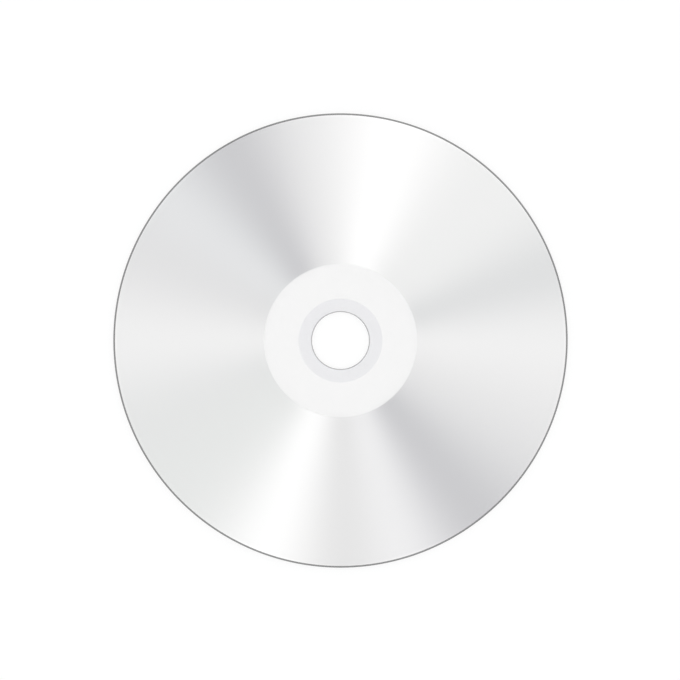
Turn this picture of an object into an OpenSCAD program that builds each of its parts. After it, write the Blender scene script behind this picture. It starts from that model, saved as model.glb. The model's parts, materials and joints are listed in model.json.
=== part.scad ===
// Compact disc: a clear moulded disc whose label side carries a metallised and lacquered data area.
// It lies read side down. The origin is at the centre of the hole, on the plane that the stacking
// ring rests on, and +Z points out of the label side. All lengths are in millimetres.

/* [Disc] */
// Outer diameter of the disc
disc_d = 120; // [80:0.5:130]
// Thickness of the moulded disc between its read side and its label side
substrate_t = 1.18; // [1:0.01:1.5]
// Diameter of the centre hole
hole_d = 15; // [12:0.05:18]
// Radius that rounds both edges of the outer rim
rim_round = 0.25; // [0.1:0.01:0.4]

/* [Hub] */
// Diameter of the sunk step that the stamper holder leaves round the hole, on the label side
holder_step_d = 22; // [20:0.1:24]
// Depth of that step below the label side
holder_step_h = 0.12; // [0.05:0.01:0.25]
// Radius that rounds the edge of the hole in the step's floor
hole_round = 0.4; // [0.1:0.01:0.45]
// Width and height of the chamfer that breaks the edge of the hole on the read side
hole_chamfer = 0.1; // [0.05:0.01:0.2]

/* [Stacking ring] */
// Diameter of the crest of the ring that holds stacked discs apart, on the read side
stacking_ring_d = 35; // [34:0.1:38]
// Width of the ring where it meets the read side
stacking_ring_w = 1.6; // [1:0.05:1.9]
// Height of the ring below the read side
stacking_ring_h = 0.12; // [0.1:0.01:0.2]

/* [Metallised area] */
// Inner diameter of the metallised area, where the clear hub ends
metal_inner_d = 40.5; // [39.5:0.1:46]
// Width of the clear margin between the metallised area and the outer edge
clear_margin = 0.5; // [0.4:0.05:1.5]
// Thickness of the metal film with its lacquer
film_t = 0.02; // [0.01:0.01:0.05]

/* [Hidden] */

// Facets of a full turn about the disc's axis
$fn = 144;
// Facets of the small circles that round the edges of the section
round_fn = 24;
// Facets of the wide circle that gives the stacking ring its arc
ring_arc_fn = 72;

// How far a cut runs past each face that it opens
cut_overrun = 0.5;
// How far the stacking ring's section reaches into the plate that it is moulded with
ring_root_h = 0.1;

disc_r = disc_d / 2;
hole_r = hole_d / 2;
holder_step_r = holder_step_d / 2;
metal_inner_r = metal_inner_d / 2;
metal_outer_r = disc_r - clear_margin;

// Heights above the plane that the disc rests on
read_z = stacking_ring_h;
label_z = read_z + substrate_t;
step_floor_z = label_z - holder_step_h;

// Radius of the arc that has the stacking ring's width and height
ring_arc_r = (pow(stacking_ring_w / 2, 2) + pow(stacking_ring_h, 2)) / (2 * stacking_ring_h);

// A rectangle of the section between two radii and two heights
module band(inner_r, outer_r, low_z, high_z) {
    translate([inner_r, low_z])
        square([outer_r - inner_r, high_z - low_z]);
}

// The flat plate, with both edges of its rim rounded
module plate_section() {
    round_centre_r = disc_r - rim_round;
    band(hole_r, round_centre_r, read_z, label_z);
    band(round_centre_r, disc_r, read_z + rim_round, label_z - rim_round);
    for (z = [read_z + rim_round, label_z - rim_round])
        translate([round_centre_r, z])
            circle(r = rim_round, $fn = round_fn);
}

// The ridge on the read side, whose crest lies at height zero
module stacking_ring_section() {
    crest_r = stacking_ring_d / 2;
    half_w = stacking_ring_w / 2;
    intersection() {
        translate([crest_r, ring_arc_r])
            circle(r = ring_arc_r, $fn = ring_arc_fn);
        band(crest_r - half_w, crest_r + half_w, 0, read_z + ring_root_h);
    }
}

// The sunk step round the hole, open at the label side
module holder_step_cut() {
    band(hole_r - cut_overrun, holder_step_r, step_floor_z, label_z + cut_overrun);
}

// What rounds the edge of the hole in the step's floor
module hole_round_cut() {
    round_centre_r = hole_r + hole_round;
    round_centre_z = step_floor_z - hole_round;
    difference() {
        band(hole_r - cut_overrun, round_centre_r, round_centre_z, step_floor_z + cut_overrun);
        translate([round_centre_r, round_centre_z])
            circle(r = hole_round, $fn = round_fn);
    }
}

// What breaks the edge of the hole on the read side
module hole_chamfer_cut() {
    polygon([
        [hole_r - cut_overrun, read_z - cut_overrun],
        [hole_r + hole_chamfer, read_z - cut_overrun],
        [hole_r + hole_chamfer, read_z],
        [hole_r, read_z + hole_chamfer],
        [hole_r - cut_overrun, read_z + hole_chamfer]
    ]);
}

// The clear polycarbonate disc, moulded in one piece
module substrate() {
    color([0.94, 0.95, 0.96, 0.45])
        rotate_extrude()
            difference() {
                union() {
                    plate_section();
                    stacking_ring_section();
                }
                holder_step_cut();
                hole_round_cut();
                hole_chamfer_cut();
            }
}

// The aluminium film with the lacquer that seals it to the label side
module reflective_layer() {
    color([0.86, 0.87, 0.88])
        rotate_extrude()
            band(metal_inner_r, metal_outer_r, label_z, label_z + film_t);
}

substrate();
reflective_layer();
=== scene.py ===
"""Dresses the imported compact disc: a clear moulded disc with a silver film on its label side.

The disc lies read side down on a white table, in a pale studio whose soft panels and dark gaps
give the film its streaks. Sizes are in millimetres, which MM turns into Blender's metres.
"""

import json
import math

import bmesh
import bpy
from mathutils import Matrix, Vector

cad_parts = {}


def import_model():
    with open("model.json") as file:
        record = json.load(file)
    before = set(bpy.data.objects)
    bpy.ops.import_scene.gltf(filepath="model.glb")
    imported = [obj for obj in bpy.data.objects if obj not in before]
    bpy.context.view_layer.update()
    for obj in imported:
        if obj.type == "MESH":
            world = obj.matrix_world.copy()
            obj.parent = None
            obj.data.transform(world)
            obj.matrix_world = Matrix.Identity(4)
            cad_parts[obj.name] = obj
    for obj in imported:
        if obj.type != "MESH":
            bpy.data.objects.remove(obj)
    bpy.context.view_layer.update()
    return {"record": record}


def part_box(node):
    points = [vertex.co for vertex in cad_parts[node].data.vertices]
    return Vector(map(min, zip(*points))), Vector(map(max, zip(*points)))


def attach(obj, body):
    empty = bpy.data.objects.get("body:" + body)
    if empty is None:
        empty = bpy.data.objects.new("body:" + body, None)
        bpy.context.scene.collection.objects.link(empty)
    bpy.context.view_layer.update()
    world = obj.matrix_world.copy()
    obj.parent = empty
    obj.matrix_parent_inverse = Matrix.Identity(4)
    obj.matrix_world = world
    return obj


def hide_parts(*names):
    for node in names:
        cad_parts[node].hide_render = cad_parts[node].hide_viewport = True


MM = 0.001
WHITE = (1, 1, 1, 1)

# The disc's section, as the CAD source has it
READ_Z = 0.12
HOLDER_STEP_R = 11.0
HOLDER_STEP_H = 0.12
HOLE_ROUND = 0.4
HOLE_CHAMFER = 0.1
RIM_ROUND = 0.25
RING_CREST_R = 17.5
RING_HALF_W = 0.8
FILM_INNER_R = 20.25

# The film's underside is sunk this far, so that its face and the moulded disc's don't share a plane
FILM_SINK = 0.004

# Lathe: steps of a full turn, of a rounded edge and of the stacking ring, the widest band of faces,
# the angle in degrees past which an edge is sharp, and the most that a large face's normal can count
TURN_STEPS = 480
ROUND_STEPS = 8
RING_STEPS = 20
WIDEST_BAND = 6.0
SHARP_ANGLE = 25
HIGHEST_WEIGHT = 100

# Finishes by radius: half of the width in which one turns into the next, and how far past the
# piece's edge their ramp goes
HALF_BLEND = 0.05
RAMP_MARGIN = 1.0

# Film's bands: where its data starts and ends, and how wide the unmarked band at its outer edge is
DATA_INNER_R = 25.0
DATA_OUTER_R = 58.0
MIRROR_W = 0.5

# Film: its colour, how rough it is in each band, and how uneven that is, with the scale and the
# detail of the noise that makes it uneven
SILVER = (0.92, 0.917, 0.9155, 1)
MIRROR_ROUGHNESS = 0.3
LEAD_ROUGHNESS = 0.338
DATA_ROUGHNESS = 0.333
UNEVENNESS = 0.01
GRAIN_SCALE = 1.7
GRAIN_DETAIL = 4.0

# Film's tracks: the slope at which they lean outwards, and the quarter of a turn that makes the film
# spread light across them
TRACK_LEAN = 0.105
ACROSS_TRACKS = 0.25

# Lacquer over the film
LACQUER_ROUGHNESS = 0.03
LACQUER_IOR = 1.5

# Moulded disc: its colour where it is clear and over the sunk step, and how far down from the label
# side the colours of that side reach
CLEAR = (0.985, 0.985, 0.985)
STEP_TINT = (0.835, 0.835, 0.865)
LABEL_SIDE_DEPTH = 0.3

# Painted shade of the rounded edges on the label side, as dark lines: colours by how far they are
# from the hole's wall, then the colour of the painted shade along the rim, its width and half of the
# width in which it starts
HOLE_EDGE_PAINTED_SHADE = [(0.1, (0.02, 0.02, 0.02)), (0.24, (0.4, 0.4, 0.4)), (0.34, STEP_TINT)]
RIM_EDGE_PAINTED_SHADE = (0.08, 0.08, 0.08)
RIM_PAINTED_SHADE_W = 0.55
RIM_PAINTED_SHADE_HALF_BLEND = 0.07

# Moulded disc: how rough it is where it is polished, in the step, on the hole's wall and on the rim
POLISHED_ROUGHNESS = 0.02
STEP_ROUGHNESS = 0.09
HOLE_ROUGHNESS = 0.2
RIM_ROUGHNESS = 0.25

# How wide the wall's and the rim's finishes are, and half of the width in which the rim's starts
HOLE_WALL_W = 0.1
RIM_W = 0.2
RIM_HALF_BLEND = 0.1

POLYCARBONATE_IOR = 1.585

# Table: half of its width, enough to reach the horizon in a low view, and how far it lies below the
# disc, so that they share no plane
TABLE_HALF_W = 12000
TABLE_GAP = 0.01

# Table: its colour, and how much of what is seen of it is plain white, at a level that keeps it
# white beside the share that takes the shadow
TABLE_COLOUR = (0.92, 0.92, 0.92, 1)
WHITE_SHARE = 0.78
WHITE_LEVEL = 1.05

# The photograph: its frame, and the disc's outer edge and centre in it, in pixels
PHOTO_PX = 680
PHOTO_DISC_R_PX = 227.2
PHOTO_CENTRE_PX = 340.5

# Camera: its lens, the width of its sensor, and the nearest and the farthest that it sees
LENS = 100
SENSOR_W = 36
NEAREST = 10
FARTHEST = 20000

# Studio: a pale dome that grows brighter from the horizon up. Each change is the two heights between
# which it comes in and what it adds. A height on the dome is the sine of the elevation.
HORIZON_LEVEL = 0.6
DOME_CHANGES = [(0.0, 0.2, 0.25), (0.25, 0.6, 0.17)]

# Tints of panels, which add them, and of gaps, which take them away
PLAIN = (1, 1, 1)
COOL_GAP = (1, 1, 0.95)
BLUISH_GAP = (1.05, 1, 0.95)
GREENISH_GAP = (1.15, 0.95, 1.05)
BLUISH_PANEL = (0.8, 0.95, 1)

# Soft panels (+) and dark gaps (-) round the dome, one for each light or dark streak of the film:
# azimuth, half width, strength and tint. They come in between two heights, so that a low view of
# the disc sees less of them. Overhead they fade out between two angles from the vertical, which
# leaves a round opening, so that the clear hub doesn't mirror them. Angles are in degrees.
PANEL_HEIGHTS = (0.1, 0.6)
OPENING_ANGLES = (2.35, 2.1)
PANELS = [
    (0, 10, 0.1, PLAIN),
    (18, 8, -0.3, BLUISH_GAP),
    (38, 10, 0.1, PLAIN),
    (78, 12, 0.4, PLAIN),
    (118, 11, -0.55, COOL_GAP),
    (138, 10, 0.15, BLUISH_PANEL),
    (155, 12, -0.2, COOL_GAP),
    (180, 10, 0.1, PLAIN),
    (220, 20, -0.15, GREENISH_GAP),
    (250, 8, 0.4, PLAIN),
    (270, 8, -0.3, PLAIN),
    (290, 9, 0.45, PLAIN),
    (307, 15, -0.55, COOL_GAP),
]


class Graph:
    """Clears a tree and adds nodes to it, with their inputs linked or set as they are named."""

    def __init__(self, tree):
        self.tree = tree
        tree.nodes.clear()

    def add(self, kind, inputs=None, **settings):
        node = self.tree.nodes.new(kind)
        for key, value in settings.items():
            setattr(node, key, value)
        for key, value in (inputs or {}).items():
            if isinstance(value, bpy.types.NodeSocket):
                self.tree.links.new(value, node.inputs[key])
            else:
                node.inputs[key].default_value = value
        return node

    def math(self, operation, *values):
        return self.add("ShaderNodeMath", dict(enumerate(values)), operation=operation).outputs[0]

    def vector(self, operation, *values, output="Vector"):
        node = self.add("ShaderNodeVectorMath", dict(enumerate(values)), operation=operation)
        return node.outputs[output]

    def any_of(self, flags):
        total = flags[0]
        for flag in flags[1:]:
            total = self.math("MAXIMUM", total, flag)
        return total

    # Each mix node has several inputs of one name, so they are found by their numbers
    def mix_colours(self, share, first, second):
        node = self.add("ShaderNodeMix", {0: share, 6: first, 7: second}, data_type="RGBA")
        return node.outputs[2]

    def mix_shaders(self, share, first, second):
        node = self.add("ShaderNodeMixShader", {0: share, 1: first.outputs[0], 2: second.outputs[0]})
        return node.outputs[0]


def new_material(name):
    material = bpy.data.materials.new(name)
    material.use_nodes = True
    return material, Graph(material.node_tree)


def arc(centre_r, centre_z, radius, start, end, steps):
    """Points of the section on an arc, between two angles in degrees from the outward direction."""
    angles = [math.radians(start + (end - start) * k / steps) for k in range(steps + 1)]
    return [(centre_r + radius * math.cos(a), centre_z + radius * math.sin(a)) for a in angles]


def with_short_bands(section):
    """The closed section with points added, so that no band is wider than WIDEST_BAND."""
    points = []
    for (r0, z0), (r1, z1) in zip(section, section[1:] + section[:1]):
        parts = max(1, math.ceil(math.hypot(r1 - r0, z1 - z0) / WIDEST_BAND))
        points += [(r0 + (r1 - r0) * k / parts, z0 + (z1 - z0) * k / parts) for k in range(parts)]
    return points


def shares_along(section):
    """How far along the section each point is, from 0 at the first one to 1 where it closes."""
    rows = len(section)
    lengths = [math.dist(section[k], section[(k + 1) % rows]) for k in range(rows)]
    return [sum(lengths[:k]) / sum(lengths) for k in range(rows + 1)]


def turn(bm, section):
    """Adds the faces of a ring turned from a closed section of (radius, height) points. Its map runs
    round the disc in U and along the section in V, as a turned piece's grain does."""
    rows = len(section)
    shares = shares_along(section)
    turned = []
    for step in range(TURN_STEPS):
        angle = math.tau * step / TURN_STEPS
        x, y = math.cos(angle), math.sin(angle)
        places = [(r * x * MM, r * y * MM, z * MM) for r, z in section]
        turned.append([bm.verts.new(place) for place in places])
    uv = bm.loops.layers.uv.new("OFBake")
    for step in range(TURN_STEPS):
        here, there = turned[step], turned[(step + 1) % TURN_STEPS]
        for k in range(rows):
            after = (k + 1) % rows
            face = bm.faces.new((here[k], there[k], there[after], here[after]))
            face.smooth = True
            corners = ((step, k), (step + 1, k), (step + 1, k + 1), (step, k + 1))
            for loop, (u, v) in zip(face.loops, corners):
                loop[uv].uv = (u / TURN_STEPS, shares[v])


def lathe(name, section):
    """A ring turned from a closed section, with its sharp edges marked."""
    bm = bmesh.new()
    turn(bm, with_short_bands(section))
    bmesh.ops.recalc_face_normals(bm, faces=bm.faces)
    for edge in bm.edges:
        edge.smooth = edge.calc_face_angle(0) < math.radians(SHARP_ANGLE)
    mesh = bpy.data.meshes.new(name)
    bm.to_mesh(mesh)
    bm.free()
    piece = bpy.data.objects.new(name, mesh)
    bpy.context.scene.collection.objects.link(piece)
    # At the highest weight, the largest faces alone decide how the corners they share are shaded
    weighted = piece.modifiers.new("flat_faces_stay_flat", "WEIGHTED_NORMAL")
    weighted.keep_sharp = True
    weighted.weight = HIGHEST_WEIGHT
    return piece


def disc_section(disc_r, hole_r, label_z):
    """The moulded disc, anticlockwise: from the read side's inner edge, round the rim and back over
    the hub. The stacking ring reaches from the read side down to the plane that the disc rests on."""
    ring_h = READ_Z
    ring_arc_r = (RING_HALF_W**2 + ring_h**2) / (2 * ring_h)
    ring_half_angle = math.degrees(math.asin(RING_HALF_W / ring_arc_r))
    ring_start = -90 - ring_half_angle
    ring_end = -90 + ring_half_angle
    step_z = label_z - HOLDER_STEP_H
    rim_r = disc_r - RIM_ROUND
    return [
        (hole_r, READ_Z + HOLE_CHAMFER),
        (hole_r + HOLE_CHAMFER, READ_Z),
        *arc(RING_CREST_R, ring_arc_r, ring_arc_r, ring_start, ring_end, RING_STEPS),
        *arc(rim_r, READ_Z + RIM_ROUND, RIM_ROUND, -90, 0, ROUND_STEPS),
        *arc(rim_r, label_z - RIM_ROUND, RIM_ROUND, 0, 90, ROUND_STEPS),
        (HOLDER_STEP_R, label_z),
        (HOLDER_STEP_R, step_z),
        *arc(hole_r + HOLE_ROUND, step_z - HOLE_ROUND, HOLE_ROUND, 90, 180, ROUND_STEPS),
    ]


def film_section(outer_r, low_z, high_z):
    """The film, with its underside a little into the moulded disc."""
    return [
        (FILM_INNER_R, low_z - FILM_SINK),
        (outer_r, low_z - FILM_SINK),
        (outer_r, high_z),
        (FILM_INNER_R, high_z),
    ]


def out_from_axis(graph):
    """The level vector from the disc's axis to the shaded point, in millimetres."""
    place = graph.add("ShaderNodeTexCoord").outputs["Object"]
    return graph.vector("MULTIPLY", place, (1 / MM, 1 / MM, 0))


def height_of(graph):
    """How far the shaded point is above the plane that the disc rests on, in millimetres."""
    place = graph.add("ShaderNodeTexCoord").outputs["Object"]
    return graph.vector("DOT_PRODUCT", place, (0, 0, 1 / MM), output="Value")


def change_at(radius, before, after, half_width=HALF_BLEND):
    """Two stops, between which one colour or level turns into another."""
    return [(radius - half_width, before), (radius + half_width, after)]


def by_radius(graph, radius, stops, edge_r):
    """A colour or level by radius, for a piece whose edge is at edge_r. Stops are (radius, value)."""
    far = edge_r + RAMP_MARGIN
    ramp = graph.add("ShaderNodeValToRGB", {"Fac": graph.math("DIVIDE", radius, far)})
    elements = ramp.color_ramp.elements
    while len(elements) < len(stops):
        elements.new(0.5)
    for element, (at, value) in zip(elements, stops):
        element.position = at / far
        element.color = (*value, 1) if isinstance(value, tuple) else (value, value, value, 1)
    return ramp.outputs["Color"]


def film_material(outer_r):
    """Aluminium under a thin clear lacquer. Its pressed tracks spread light across them, away from
    the centre, and hardly along them."""
    material, graph = new_material("lacquered_aluminium")
    from_axis = out_from_axis(graph)
    radius = graph.vector("LENGTH", from_axis, output="Value")
    bands = [
        *change_at(DATA_INNER_R, LEAD_ROUGHNESS, DATA_ROUGHNESS),
        *change_at(DATA_OUTER_R, DATA_ROUGHNESS, LEAD_ROUGHNESS),
        *change_at(outer_r - MIRROR_W, LEAD_ROUGHNESS, MIRROR_ROUGHNESS),
    ]
    grain = graph.add(
        "ShaderNodeTexNoise",
        {"W": radius, "Scale": GRAIN_SCALE, "Detail": GRAIN_DETAIL},
        noise_dimensions="1D",
    )
    uneven = graph.math("MULTIPLY_ADD", grain.outputs[0], 2 * UNEVENNESS, -UNEVENNESS)
    normal = graph.add("ShaderNodeNewGeometry").outputs["Normal"]
    outwards = graph.vector("NORMALIZE", from_axis)
    leaning = graph.vector("MULTIPLY_ADD", outwards, (TRACK_LEAN,) * 3, normal)
    around = graph.add("ShaderNodeTangent", direction_type="RADIAL", axis="Z").outputs["Tangent"]
    shader = graph.add(
        "ShaderNodeBsdfPrincipled",
        {
            "Base Color": SILVER,
            "Metallic": 1.0,
            "Roughness": graph.math("ADD", by_radius(graph, radius, bands, outer_r), uneven),
            "Anisotropic": 1.0,
            "Anisotropic Rotation": ACROSS_TRACKS,
            "Tangent": around,
            "Normal": graph.vector("NORMALIZE", leaning),
            "Coat Weight": 1.0,
            "Coat Roughness": LACQUER_ROUGHNESS,
            "Coat IOR": LACQUER_IOR,
        },
    )
    graph.add("ShaderNodeOutputMaterial", {"Surface": shader.outputs[0]})
    return material


def polycarbonate_material(disc_r, hole_r, label_z):
    """Clear polycarbonate, satin on the rim, on the hole's wall and in the sunk step. On its label
    side the step is greyer, and painted shade lies as a dark line along each rounded edge."""
    material, graph = new_material("clear_polycarbonate")
    radius = graph.vector("LENGTH", out_from_axis(graph), output="Value")
    # Label side by radius: the step's grey tint, and painted shade as dark lines along the hole's
    # rounded edge and along the rim
    label_side = [
        *((hole_r + distance, colour) for distance, colour in HOLE_EDGE_PAINTED_SHADE),
        *change_at(HOLDER_STEP_R, STEP_TINT, CLEAR),
        *change_at(disc_r - RIM_PAINTED_SHADE_W, CLEAR, RIM_EDGE_PAINTED_SHADE, RIM_PAINTED_SHADE_HALF_BLEND),
    ]
    satin = [
        *change_at(hole_r + HOLE_WALL_W, HOLE_ROUGHNESS, STEP_ROUGHNESS),
        *change_at(HOLDER_STEP_R, STEP_ROUGHNESS, POLISHED_ROUGHNESS),
        *change_at(disc_r - RIM_W, POLISHED_ROUGHNESS, RIM_ROUGHNESS, RIM_HALF_BLEND),
    ]
    on_label_side = graph.math("GREATER_THAN", height_of(graph), label_z - LABEL_SIDE_DEPTH)
    label_tint_and_painted_shade = by_radius(graph, radius, label_side, disc_r)
    shader = graph.add(
        "ShaderNodeBsdfPrincipled",
        {
            "Base Color": graph.mix_colours(on_label_side, (*CLEAR, 1), label_tint_and_painted_shade),
            "Roughness": by_radius(graph, radius, satin, disc_r),
            "IOR": POLYCARBONATE_IOR,
            "Transmission Weight": 1.0,
        },
    )
    graph.add("ShaderNodeOutputMaterial", {"Surface": shader.outputs[0]})
    return material


def table_material():
    """A white surface. To the camera, in a reflection and through the disc it is mostly plain white,
    with a soft share of the shadow."""
    material, graph = new_material("white_table")
    path = graph.add("ShaderNodeLightPath").outputs
    seen = graph.any_of([path[f"Is {kind} Ray"] for kind in ("Camera", "Glossy", "Transmission")])
    lit = graph.add("ShaderNodeBsdfDiffuse", {"Color": TABLE_COLOUR})
    white = graph.add("ShaderNodeEmission", {"Color": WHITE, "Strength": WHITE_LEVEL})
    mixed = graph.mix_shaders(graph.math("MULTIPLY", seen, WHITE_SHARE), lit, white)
    graph.add("ShaderNodeOutputMaterial", {"Surface": mixed})
    return material


def soft_step(graph, value, low, high):
    """0 below low, 1 above high, and smooth between them."""
    node = graph.add(
        "ShaderNodeMapRange",
        {"Value": value, "From Min": low, "From Max": high},
        interpolation_type="SMOOTHSTEP",
    )
    return node.outputs[0]


def panel_share(graph, level, azimuth, half_width):
    """1 in the panel's azimuth, a half at its half width to either side, and less further off."""
    tightness = math.log(2) / (1 - math.cos(math.radians(half_width)))
    towards = (math.cos(math.radians(azimuth)), math.sin(math.radians(azimuth)), 0)
    nearness = graph.vector("DOT_PRODUCT", level, towards, output="Value")
    return graph.math("EXPONENT", graph.math("MULTIPLY_ADD", nearness, tightness, -tightness))


def studio_world():
    """White to the camera and through the disc. Everything else gets the dome's light, with its
    panels and its gaps."""
    world = bpy.data.worlds.new("studio")
    world.use_nodes = True
    bpy.context.scene.world = world
    graph = Graph(world.node_tree)
    direction = graph.add("ShaderNodeTexCoord").outputs["Generated"]
    level = graph.vector("NORMALIZE", graph.vector("MULTIPLY", direction, (1, 1, 0)))
    height = graph.vector("DOT_PRODUCT", direction, (0, 0, 1), output="Value")
    dome = HORIZON_LEVEL
    for low, high, change in DOME_CHANGES:
        dome = graph.math("MULTIPLY_ADD", soft_step(graph, height, low, high), change, dome)
    opening = soft_step(graph, height, *(math.cos(math.radians(angle)) for angle in OPENING_ANGLES))
    panels_in = graph.math("SUBTRACT", soft_step(graph, height, *PANEL_HEIGHTS), opening)
    # The dome's level becomes a grey, to which each panel adds its own colour
    light = graph.vector("MULTIPLY", dome, (1, 1, 1))
    for azimuth, half_width, strength, tint in PANELS:
        share = graph.math("MULTIPLY", panel_share(graph, level, azimuth, half_width), panels_in)
        light = graph.vector("MULTIPLY_ADD", share, tuple(strength * c for c in tint), light)
    path = graph.add("ShaderNodeLightPath").outputs
    seen = graph.any_of([path["Is Camera Ray"], path["Is Transmission Ray"]])
    studio = graph.add("ShaderNodeBackground", {"Color": light, "Strength": 1.0})
    white = graph.add("ShaderNodeBackground", {"Color": WHITE, "Strength": 1.0})
    graph.add("ShaderNodeOutputWorld", {"Surface": graph.mix_shaders(seen, studio, white)})


def add_table():
    half = TABLE_HALF_W * MM
    low = -TABLE_GAP * MM
    mesh = bpy.data.meshes.new("table")
    corners = [(-half, -half, low), (half, -half, low), (half, half, low), (-half, half, low)]
    mesh.from_pydata(corners, [], [(0, 1, 2, 3)])
    mesh.materials.append(table_material())
    table = bpy.data.objects.new("table", mesh)
    bpy.context.scene.collection.objects.link(table)


def add_camera(disc_r, rim_z):
    """Looks straight down, from the height that gives the disc's outer edge the photograph's radius,
    and as far off the disc's axis as the disc's centre is off the middle of the photograph."""
    px_per_mm = PHOTO_DISC_R_PX / disc_r
    height = LENS / SENSOR_W * PHOTO_PX / px_per_mm
    off_centre = (PHOTO_CENTRE_PX - PHOTO_PX / 2) / px_per_mm
    data = bpy.data.cameras.new("camera")
    data.lens = LENS
    data.sensor_width = SENSOR_W
    data.clip_start = NEAREST * MM
    data.clip_end = FARTHEST * MM
    camera = bpy.data.objects.new("camera", data)
    camera.location = Vector((-off_centre, off_centre, rim_z + height)) * MM
    bpy.context.scene.collection.objects.link(camera)
    bpy.context.scene.camera = camera


def add_piece(name, section, material, node):
    """A turned piece, shown in place of one node of the CAD part."""
    piece = lathe(name, section)
    piece.data.materials.append(material)
    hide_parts(node)
    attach(piece, "root")


def main():
    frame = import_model()
    scene = bpy.context.scene
    scene.view_settings.view_transform = "Standard"

    # The frame's boxes are in metres and in single precision, so the sizes from them are rounded
    _, disc_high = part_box("substrate")
    _, film_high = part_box("reflective_layer")
    spindle_hole = next(m for m in frame["record"]["mounts"] if m["name"] == "spindle_hole")
    disc_r = round(disc_high.x / MM, 2)
    hole_r = spindle_hole["dims"]["r_mm"]
    label_z = round(disc_high.z / MM, 3)
    film_r = round(film_high.x / MM, 2)
    film_z = round(film_high.z / MM, 3)

    add_camera(disc_r, label_z - RIM_ROUND)
    studio_world()
    add_table()
    add_piece(
        "moulded_disc",
        disc_section(disc_r, hole_r, label_z),
        polycarbonate_material(disc_r, hole_r, label_z),
        "substrate",
    )
    add_piece(
        "metal_film",
        film_section(film_r, label_z, film_z),
        film_material(film_r),
        "reflective_layer",
    )


main()
